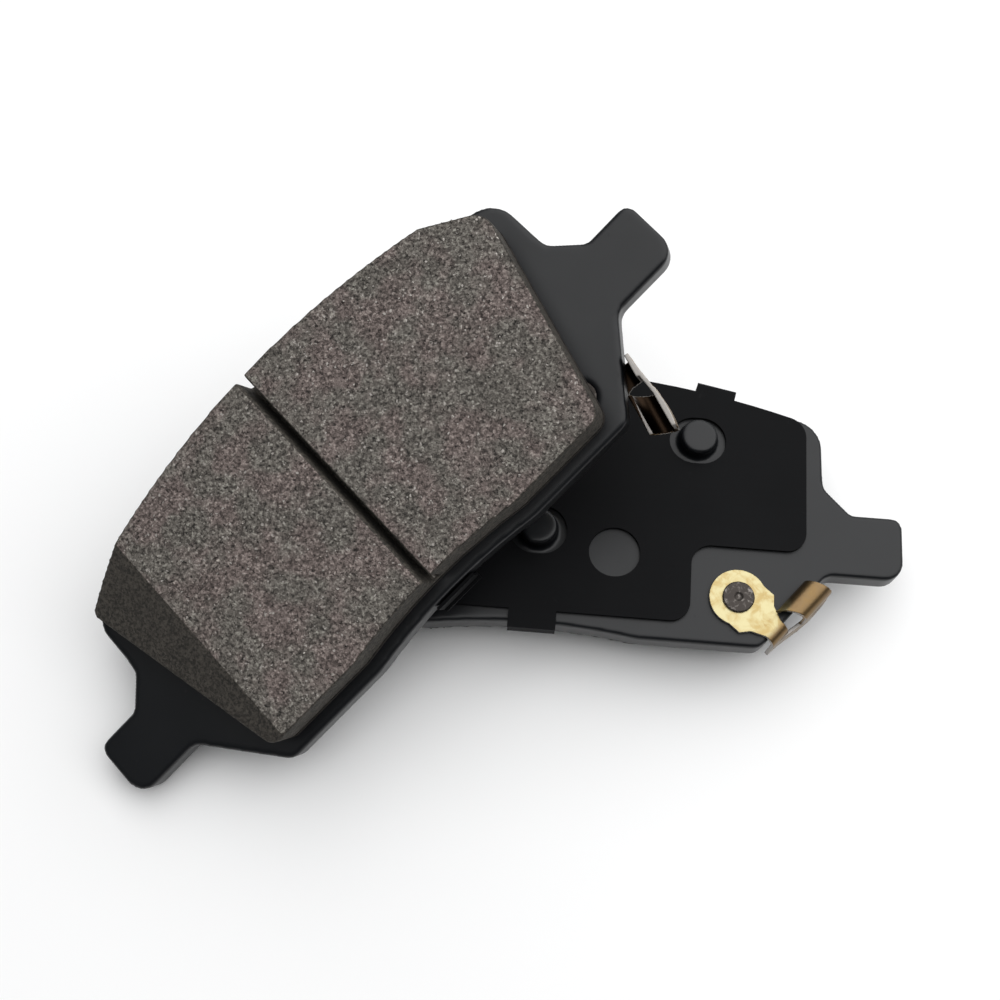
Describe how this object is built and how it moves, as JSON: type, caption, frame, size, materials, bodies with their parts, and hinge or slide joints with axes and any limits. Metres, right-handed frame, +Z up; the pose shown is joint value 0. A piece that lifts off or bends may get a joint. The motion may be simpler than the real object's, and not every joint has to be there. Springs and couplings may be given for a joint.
{
  "type": "disc brake pad pair",
  "caption": "Disc brake pads with a slotted lining, eared steel plate, bossed back, noise shim and riveted wear indicator, one laid across the other.",
  "frame": {"origin": "centre of the lower pad's friction face, on the table, where its slot crosses its centre line", "axes": "+X along the lower pad towards its wear indicator, +Y towards its outer arc, +Z up through its back"},
  "size_m": [0.1516, 0.1032, 0.0595],
  "materials": {
    "plate_paint": "satin black powder coat on stamped steel",
    "bond_layer": "dark moulded fibre layer, matt",
    "friction": "ground face of a coarse grey-brown moulded mix with bright metal flecks",
    "shim_rubber": "thin black rubber film",
    "shim_steel": "smooth semi-matt black coated sheet steel",
    "indicator_steel": "spring steel, yellow zinc passivated",
    "rivet_steel": "dark phosphated steel"
  },
  "bodies": {
    "lower_pad": {"lower_backing_plate": "plate_paint", "lower_underlayer": "bond_layer", "lower_friction_lining": "friction", "lower_shim_rubber": "shim_rubber", "lower_noise_shim": "shim_steel", "lower_wear_indicator": "indicator_steel", "lower_indicator_rivet": "rivet_steel"},
    "upper_pad": {"upper_backing_plate": "plate_paint", "upper_underlayer": "bond_layer", "upper_friction_lining": "friction", "upper_shim_rubber": "shim_rubber", "upper_noise_shim": "shim_steel", "upper_wear_indicator": "indicator_steel", "upper_indicator_rivet": "rivet_steel"}
  },
  "joints": [
    {"name": "upper_pad_lift", "type": "slide", "parent": "lower_pad", "child": "upper_pad", "axis": [0, 0, 1], "range_m": [0, 0.04]}
  ]
}
